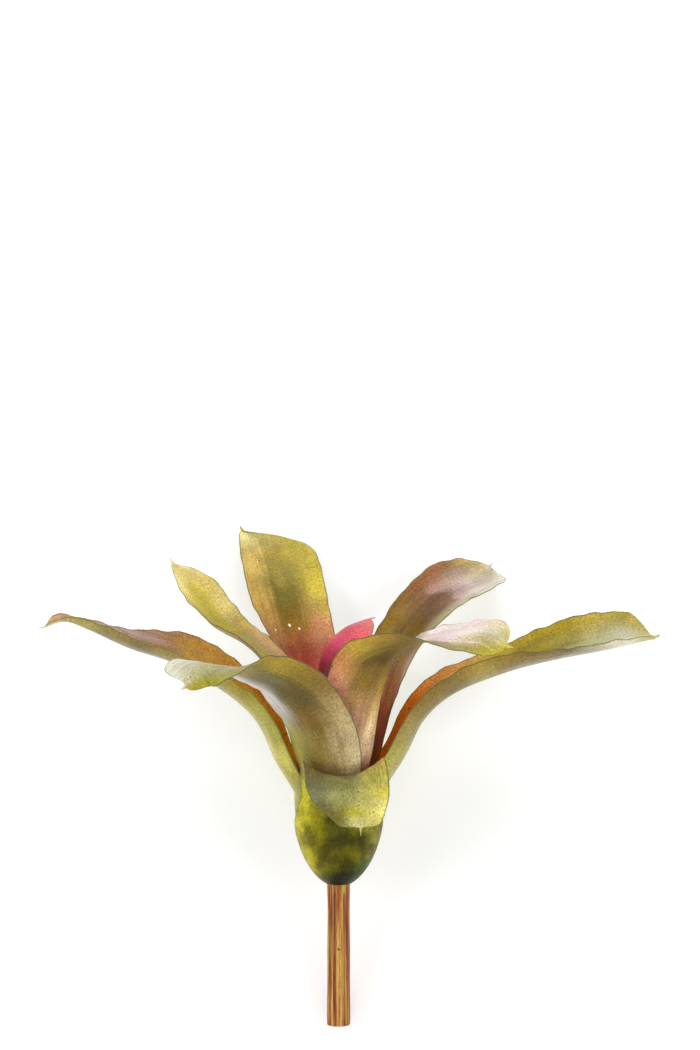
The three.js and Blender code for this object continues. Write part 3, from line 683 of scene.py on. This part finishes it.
def make_piece(name, verts, faces, maps, slots, materials, grain_shift=0.0):
    """A mesh piece with three maps: place on the leaf, grain in mm and distance to the margin in mm."""
    mesh = bpy.data.meshes.new(name + "_skin")
    mesh.from_pydata(lay_down(np.array(verts)).tolist(), [], [tuple(map(int, f)) for f in faces])
    for material in materials:
        mesh.materials.append(material)
    mesh.polygons.foreach_set("material_index", slots)
    mesh.polygons.foreach_set("use_smooth", [True] * len(mesh.polygons))
    values = np.array(maps, float)
    values[:, 2:4] += grain_shift % 997
    corner = np.zeros(len(mesh.loops), np.int32)
    mesh.loops.foreach_get("vertex_index", corner)
    for label, columns in (("place", [0, 1]), ("grain", [2, 3]), ("margin", [4, 4])):
        layer = mesh.uv_layers.new(name=label)
        layer.data.foreach_set("uv", values[:, columns][corner].astype(np.float32).ravel())
    mesh.validate()
    mesh.set_sharp_from_angle(angle=math.radians(50))
    mesh.update()
    piece = bpy.data.objects.new(name + "_skin", mesh)
    bpy.context.scene.collection.objects.link(piece)
    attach(piece, "root")
    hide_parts(name)
    return piece


# Materials
def new_material(name):
    material = bpy.data.materials.new(name)
    material.use_nodes = True
    material.node_tree.nodes.clear()
    return material, material.node_tree


def add(tree, kind, inputs=None, stops=(), **settings):
    """Adds a node: sets its properties, links or sets its inputs, and gives it its colour stops."""
    node = tree.nodes.new(kind)
    for key, value in settings.items():
        setattr(node, key, value)
    for key, value in (inputs or {}).items():
        if isinstance(value, bpy.types.NodeSocket):
            tree.links.new(value, node.inputs[key])
        else:
            node.inputs[key].default_value = value
    for index, (position, value) in enumerate(stops):
        ramp = node.color_ramp
        if index == 0:
            ramp.interpolation = "EASE"
            ramp.elements.remove(ramp.elements[-1])
        element = ramp.elements.new(position) if index else ramp.elements[0]
        element.position = position
        element.color = colour(value)
    return node


def toned(tree, shade, pattern, dark, light, low=0.3, high=0.7):
    """Shade made darker and lighter, from dark to light, as the pattern goes from low to high."""
    amount = add(tree, "ShaderNodeMapRange", {0: pattern, 1: low, 2: high, 3: dark, 4: light})
    return add(tree, "ShaderNodeMix", {0: 1.0, 6: shade, 7: amount.outputs[0]}, data_type="RGBA",
               blend_type="MULTIPLY").outputs[2]


def tinted(tree, shade, amount, tint):
    """Shade covered by a plain tint where the amount is 1."""
    return add(tree, "ShaderNodeMix", {0: amount, 6: shade, 7: colour(tint)},
               data_type="RGBA").outputs[2]


def mottling(tree, grain, across_mm, along_mm, detail=2.0, roughness=0.5):
    """Soft blotches of about so many millimetres across and along the leaf or stem."""
    at = add(tree, "ShaderNodeMapping", {"Vector": grain, "Scale": (1 / across_mm, 1 / along_mm, 1)})
    return add(tree, "ShaderNodeTexNoise", {"Vector": at.outputs[0], "Scale": 1.0, "Detail": detail,
                                            "Roughness": roughness})


def specks(tree, grain, spacing_mm, radius_mm, share):
    """Small round specks: 1 inside one, in the given share of cells of the given spacing."""
    at = add(tree, "ShaderNodeMapping",
             {"Vector": grain, "Scale": (1 / spacing_mm, 1 / spacing_mm, 1)})
    cells = add(tree, "ShaderNodeTexVoronoi", {"Vector": at.outputs[0], "Scale": 1.0},
                voronoi_dimensions="2D")
    edge = radius_mm / spacing_mm
    spot = add(tree, "ShaderNodeMapRange",
               {0: cells.outputs["Distance"], 1: 0.6 * edge, 2: edge, 3: 1.0, 4: 0.0})
    chosen = add(tree, "ShaderNodeSeparateColor", {0: cells.outputs["Color"]})
    kept = add(tree, "ShaderNodeMath", {0: chosen.outputs[0], 1: share}, operation="LESS_THAN")
    return add(tree, "ShaderNodeMath", {0: spot.outputs[0], 1: kept.outputs[0]},
               operation="MULTIPLY").outputs[0]


def feathered_place(tree, place, cloud, streaks, feathering):
    """Place on the leaf, swayed by clouds and streaks so that its colours feather together."""
    sway = add(tree, "ShaderNodeVectorMath",
               {0: cloud.outputs["Color"], 1: (0.26, 0.12, 0), 2: (-0.13, -0.06, 0)},
               operation="MULTIPLY_ADD")
    swayed = add(tree, "ShaderNodeVectorMath", {0: place, 1: sway.outputs[0]}, operation="ADD")
    at = add(tree, "ShaderNodeSeparateXYZ", {0: swayed.outputs[0]})
    feather = add(tree, "ShaderNodeMath",
                  {0: streaks.outputs[0], 1: feathering, 2: -0.5 * feathering},
                  operation="MULTIPLY_ADD")
    across = add(tree, "ShaderNodeMath", {0: at.outputs[0], 1: feather.outputs[0]}, operation="ADD")
    return across.outputs[0], at.outputs[1]


def colours_with_painted_light(tree, shades, across, along):
    """Colours down the middle of the leaf, passing over into those towards its two margins,
    with the painted highlights, glow and shade that the stops hold.
    """
    shade = add(tree, "ShaderNodeValToRGB", {0: along}, shades["middle"]).outputs[0]
    for side, low, high in (("right", 0.45, 0.08), ("left", 0.55, 0.92)):
        stops = shades.get(side) or shades["margins"]
        towards_margin = add(tree, "ShaderNodeValToRGB", {0: along}, stops)
        reach = add(tree, "ShaderNodeMapRange", {0: across, 1: low, 2: high},
                    interpolation_type="SMOOTHSTEP")
        shade = add(tree, "ShaderNodeMix",
                    {0: reach.outputs[0], 6: shade, 7: towards_margin.outputs[0]},
                    data_type="RGBA").outputs[2]
    return shade


def glare_and_silver_streaks(tree, shade, streaks, across, along, low, high, start, end, strength, tint):
    """Painted glare in lines along the veins, partly silvery scales: none at low and full at high, as
    shares across.
    """
    length = end - start
    lines = add(tree, "ShaderNodeMapRange", {0: streaks, 1: 0.4, 2: 0.62, 3: 0.1, 4: strength},
                interpolation_type="SMOOTHSTEP")
    on_side = add(tree, "ShaderNodeMapRange", {0: across, 1: low, 2: high},
                  interpolation_type="SMOOTHSTEP")
    near = add(tree, "ShaderNodeMath", {0: along, 1: (start + end) / 2}, operation="SUBTRACT")
    away = add(tree, "ShaderNodeMath", {0: near.outputs[0]}, operation="ABSOLUTE")
    within = add(tree, "ShaderNodeMapRange",
                 {0: away.outputs[0], 1: 0.12 * length, 2: 0.62 * length, 3: 1.0, 4: 0.0},
                 interpolation_type="SMOOTHSTEP")
    amount = lines.outputs[0]
    for limit in (on_side, within):
        amount = add(tree, "ShaderNodeMath", {0: amount, 1: limit.outputs[0]},
                     operation="MULTIPLY").outputs[0]
    return tinted(tree, shade, amount, tint)


def pale_scar(tree, shade, place, across, along, size):
    """One pale scar on the leaf: its middle and half size as shares of the leaf's place map."""
    at = add(tree, "ShaderNodeVectorMath", {0: place, 1: (across, along, 0)}, operation="SUBTRACT")
    scaled = add(tree, "ShaderNodeVectorMath", {0: at.outputs[0], 1: (*size, 1)},
                 operation="DIVIDE")
    away = add(tree, "ShaderNodeVectorMath", {0: scaled.outputs[0]}, operation="LENGTH")
    inside = add(tree, "ShaderNodeMapRange",
                 {0: away.outputs["Value"], 1: 0.6, 2: 1.1, 3: 1.0, 4: 0.0})
    return tinted(tree, shade, inside.outputs[0], "#fbf6d8")


def leaf_cuticle(name, shades, rim="#4d5c2c", patches=(0.9, 1.1), clouds_mm=(8, 22),
                 streaking=0.06, rust=0.06, shine=0.28, bloom=0.03, feathering=0.3, scars=(),
                 glare_and_silver=()):
    """Living leaf skin: a waxy cuticle over lengthwise veins, dusted with tiny silvery scales.

    It gives the eye a satin gloss, colours that feather into each other along the veins, a fine
    grey-brown speckle, a soft glow where light gets into the flesh and a pale bloom edge-on. Painted
    into its colours are highlights, glare in lines along the veins, glow of light through the leaf
    and shade.
    """
    material, tree = new_material(name)
    place = add(tree, "ShaderNodeUVMap", uv_map="place").outputs[0]
    grain = add(tree, "ShaderNodeUVMap", uv_map="grain").outputs[0]
    margin_mm = add(tree, "ShaderNodeUVMap", uv_map="margin").outputs[0]

    # veins lie about 1 mm apart, and streaks of colour are nearly two veins wide
    veins = mottling(tree, grain, 1.1, 50)
    streaks = mottling(tree, grain, 1.8, 70)
    cloud = mottling(tree, grain, *clouds_mm, detail=3.0)
    blotches = mottling(tree, grain, 9, 12, detail=3.0)
    # scurf grains: real ones are 0.2 mm, drawn about 1 mm wide so that they show
    scurf = mottling(tree, grain, 1.0, 1.3, detail=4.0, roughness=0.8)

    across, along = feathered_place(tree, place, cloud, streaks, feathering)
    shade = colours_with_painted_light(tree, shades, across, along)
    shade = toned(tree, shade, blotches.outputs[0], *patches, low=0.4, high=0.6)
    shade = toned(tree, shade, cloud.outputs[0], 0.84, 1.14)
    shade = toned(tree, shade, streaks.outputs[0], 1 - streaking, 1 + streaking)
    shade = toned(tree, shade, scurf.outputs[0], 0.45, 1.5)
    # painted glare in bands along the veins, partly the leaf's silvery scales
    for band in glare_and_silver:
        shade = glare_and_silver_streaks(tree, shade, streaks.outputs[0], across, along, *band)
    # rust spots: real ones are 0.3 to 0.6 mm, drawn 0.9 mm wide so that they show
    shade = tinted(tree, shade, specks(tree, grain, 7, 0.45, rust), "#5a2a14")
    for scar in scars:
        shade = pale_scar(tree, shade, place, *scar)
    # the thin rim of the leaf is darker and greener, over about half a millimetre
    rim_at = add(tree, "ShaderNodeSeparateXYZ", {0: margin_mm})
    on_rim = add(tree, "ShaderNodeMapRange", {0: rim_at.outputs[0], 1: 0.1, 2: 0.7, 3: 0.85, 4: 0.0},
                 interpolation_type="SMOOTHSTEP")
    shade = tinted(tree, shade, on_rim.outputs[0], rim)

    relief = add(tree, "ShaderNodeMath", {0: veins.outputs[0], 1: scurf.outputs[0]}, operation="ADD")
    bump = add(tree, "ShaderNodeBump",
               {"Height": relief.outputs[0], "Strength": 0.35, "Distance": 0.0005})
    satin = add(tree, "ShaderNodeMapRange", {0: cloud.outputs[0], 1: 0.3, 2: 0.7, 3: 0.35, 4: 0.48})
    skin = add(tree, "ShaderNodeBsdfPrincipled", {
        "Base Color": shade, "Roughness": satin.outputs[0], "Normal": bump.outputs[0], "IOR": 1.45,
        "Specular IOR Level": shine, "Sheen Weight": bloom, "Sheen Roughness": 0.35,
        "Subsurface Weight": 0.35, "Subsurface Scale": 0.003, "Subsurface Radius": (1.0, 0.55, 0.15)})
    add(tree, "ShaderNodeOutputMaterial", {0: skin.outputs[0]})
    return material


def stem_bark(name):
    """Dry woody flower stem: stringy fibres run its whole length under a thin brown skin.

    It gives the eye long tan, red-brown and dark streaks, a green-yellow patch where the skin
    is still alive under the leaves, and almost no gloss.
    """
    material, tree = new_material(name)
    grain = add(tree, "ShaderNodeUVMap", uv_map="grain").outputs[0]
    # fibres: real ones are 0.3 mm, drawn in bundles about 1.3 mm wide so that they show
    fibres = mottling(tree, grain, 1.3, 90, detail=4.0, roughness=0.75)
    wood = add(tree, "ShaderNodeValToRGB", {0: fibres.outputs[0]},
               [(0.38, "#481404"), (0.44, "#762a08"), (0.49, "#964818"), (0.54, "#aa6c30"),
                (0.59, "#c09844"), (0.68, "#cca458")])
    # bits of dry skin, about 0.6 mm wide and 4 mm long
    flakes = mottling(tree, grain, 0.6, 4, detail=3.0, roughness=0.7)
    shade = toned(tree, wood.outputs[0], flakes.outputs[0], 0.7, 1.3)
    # the skin is alive in the last 5 mm under the leaves, and faintly green in patches below
    height = add(tree, "ShaderNodeSeparateXYZ", {0: grain})
    living = add(tree, "ShaderNodeMapRange",
                 {0: height.outputs[1], 1: -5.0, 2: -3.0, 3: 0.25, 4: 1.0},
                 interpolation_type="SMOOTHSTEP")
    cover = mottling(tree, grain, 3.5, 40)
    green = add(tree, "ShaderNodeMapRange", {0: cover.outputs[0], 1: 0.5, 2: 0.6, 3: 0.0, 4: 0.85})
    amount = add(tree, "ShaderNodeMath", {0: living.outputs[0], 1: green.outputs[0]},
                 operation="MULTIPLY")
    shade = tinted(tree, shade, amount.outputs[0], "#b4a83c")
    # algae spots: 1.6 mm wide, one in a tenth of the 9 mm cells
    shade = tinted(tree, shade, specks(tree, grain, 9, 0.8, 0.1), "#2c5234")
    relief = add(tree, "ShaderNodeMath", {0: fibres.outputs[0], 1: flakes.outputs[0]},
                 operation="ADD")
    bump = add(tree, "ShaderNodeBump",
               {"Height": relief.outputs[0], "Strength": 0.6, "Distance": 0.0006})
    skin = add(tree, "ShaderNodeBsdfPrincipled",
               {"Base Color": shade, "Normal": bump.outputs[0], "Roughness": 0.6, "IOR": 1.5,
                "Specular IOR Level": 0.35})
    add(tree, "ShaderNodeOutputMaterial", {0: skin.outputs[0]})
    return material


def floor_paper():
    """Matte white background paper, which gives the eye a plain pale ground."""
    material, tree = new_material("matte background paper")
    skin = add(tree, "ShaderNodeBsdfPrincipled",
               {"Base Color": colour("#dcdcdc"), "Roughness": 0.9,
                "Emission Color": colour("#ffffff"), "Emission Strength": 0.35})
    add(tree, "ShaderNodeOutputMaterial", {0: skin.outputs[0]})
    return material


# Stem
def stem_radius(z, ridge):
    """Radius of the stem at the height z: ridged where it is bare, plain inside the leaves."""
    bare = float(smooth(np.array([(-z - 1) / 6]))[0])
    plain = STEM_RADIUS if z < -0.4 else CORE_RADIUS
    waver = 0.1 * math.sin(z / 13) + 0.08 * math.sin(z / 5.5 + 1)
    return plain + bare * (0.9 * ridge + waver - 0.12)


def ring_band(low, high):
    """Faces between two rings of points, each given by the number of its first point."""
    turns = [(j, (j + 1) % STEM_SIDES) for j in range(STEM_SIDES)]
    return [(low + j, low + k, high + k, high + j) for j, k in turns]


def build_stem():
    rng = np.random.default_rng(7)
    angle = np.arange(STEM_SIDES) * 2 * math.pi / STEM_SIDES
    ridge = (0.1 * np.sin(9 * angle + 1) + 0.07 * np.sin(14 * angle + 2.3)
             + 0.05 * np.sin(23 * angle + rng.uniform(0, 6)))
    heights = np.concatenate([np.linspace(-STEM_LENGTH, -0.8, 60), [0.0], np.linspace(2, CORE_TOP, 6)])
    rings = [(stem_radius(z, ridge), z, z) for z in heights]
    # the bud at the end of the core, rounded over, with the grain of one height
    rings += [(CORE_RADIUS * share * np.ones(STEM_SIDES),
               CORE_TOP + (BUD_TOP - CORE_TOP) * (1 - share ** 1.6), 20.0)
              for share in (0.85, 0.6, 0.3)]
    # the flat cut, with an inner ring that keeps its edge sharp
    rings.append((0.93 * rings[0][0], -STEM_LENGTH, -STEM_LENGTH))
    verts, maps = [], []
    for radius, z, grain_height in rings:
        for a, r in zip(angle, radius):
            verts.append((r * math.cos(a), r * math.sin(a), z))
            maps.append((a / (2 * math.pi), 0.5, a * STEM_RADIUS, grain_height, FAR_FROM_MARGIN))
    starts = [number * STEM_SIDES for number in range(len(rings))]
    faces = []
    for low, high in zip(starts[:-2], starts[1:-1]):
        faces += ring_band(low, high)
    faces.append(tuple(starts[-2] + j for j in range(STEM_SIDES)))
    faces += ring_band(starts[-1], starts[0])
    faces.append(tuple(starts[-1] + j for j in reversed(range(STEM_SIDES))))
    bark = stem_bark("woody stem")
    piece = make_piece("stem", verts, faces, maps, [0] * len(faces), (bark,))


def build_leaves():
    for name, shape in LEAVES.items():
        colours = LEAF_COLOURS_AND_PAINTED_LIGHT[name]
        upper = leaf_cuticle(name + " upper side", colours["upper"], **UPPER_FINISH.get(name, {}))
        under = leaf_cuticle(name + " underside", colours["under"], **UNDER_FINISH.get(name, {}))
        piece = build_leaf(name, {**PLAIN_LEAF, **shape}, upper, under)


# Studio
def build_floor():
    mesh = bpy.data.meshes.new("studio_floor")
    reach = 4.0
    corners = [(-reach, -reach, 0), (reach, -reach, 0), (reach, reach, 0), (-reach, reach, 0)]
    mesh.from_pydata(corners, [], [(0, 1, 2, 3)])
    mesh.materials.append(floor_paper())
    floor = bpy.data.objects.new("studio_floor", mesh)
    bpy.context.scene.collection.objects.link(floor)


def add_softbox(name, place, size, power):
    """A large soft light of so many watts, turned to the middle of the plant."""
    aim = (0, 0, 0.05)
    light = bpy.data.lights.new(name, "AREA")
    light.shape = "RECTANGLE"
    light.size, light.size_y = size
    light.energy = power
    lamp = bpy.data.objects.new(name, light)
    lamp.location = place
    lamp.rotation_euler = (Vector(aim) - Vector(place)).to_track_quat("-Z", "Y").to_euler()
    lamp.visible_camera = False
    bpy.context.scene.collection.objects.link(lamp)


def light_studio():
    world = bpy.data.worlds.new("white studio")
    world.use_nodes = True
    background = world.node_tree.nodes["Background"]
    background.inputs["Color"].default_value = colour("#ffffff")
    background.inputs["Strength"].default_value = 0.3
    bpy.context.scene.world = world
    add_softbox("head softbox", (0.0, 1.3, 1.0), (1.4, 0.8), 12.6)
    add_softbox("left softbox", (-1.2, 0.0, 0.9), (0.8, 1.2), 11.7)
    add_softbox("right softbox", (1.2, 0.0, 0.9), (0.8, 1.2), 11.7)
    add_softbox("foot softbox", (0.0, -1.1, 0.9), (1.2, 0.6), 7)
    bpy.context.scene.view_settings.view_transform = "Standard"


def place_camera():
    """The photograph's view: level with the leaves, looking a little down into the rosette."""
    focal_px = 3000.0
    shown_px = 1050.0
    centre_px = (350.0, 525.0)
    target_px = (338.5, 740.0)
    target = np.array((0.0, 0.0, 72.5))
    distance = 1500.0
    looking_down = math.radians(8)
    pitch = looking_down - math.atan((target_px[1] - centre_px[1]) / focal_px)
    forward = np.array((0.0, math.cos(pitch), -math.sin(pitch)))
    up = np.array((0.0, math.sin(pitch), math.cos(pitch)))
    right = np.array((1.0, 0.0, 0.0))
    mm_per_px = distance / focal_px
    spot = (target + right * (centre_px[0] - target_px[0]) * mm_per_px
            + up * (target_px[1] - centre_px[1]) * mm_per_px - forward * distance)
    turn = lying_turn()
    axes = [turn @ Vector(axis) for axis in (right, up, -forward)]
    camera = bpy.data.cameras.new("camera")
    camera.sensor_fit = "AUTO"
    camera.sensor_width = 36.0
    camera.lens = camera.sensor_width * focal_px / shown_px
    camera.clip_end = 20.0
    holder = bpy.data.objects.new("camera", camera)
    matrix = Matrix(axes).transposed().to_4x4()
    matrix.translation = Vector(lay_down(spot[None, :])[0])
    holder.matrix_world = matrix
    bpy.context.scene.collection.objects.link(holder)
    bpy.context.scene.camera = holder


build_leaves()
build_stem()
build_floor()
light_studio()
place_camera()
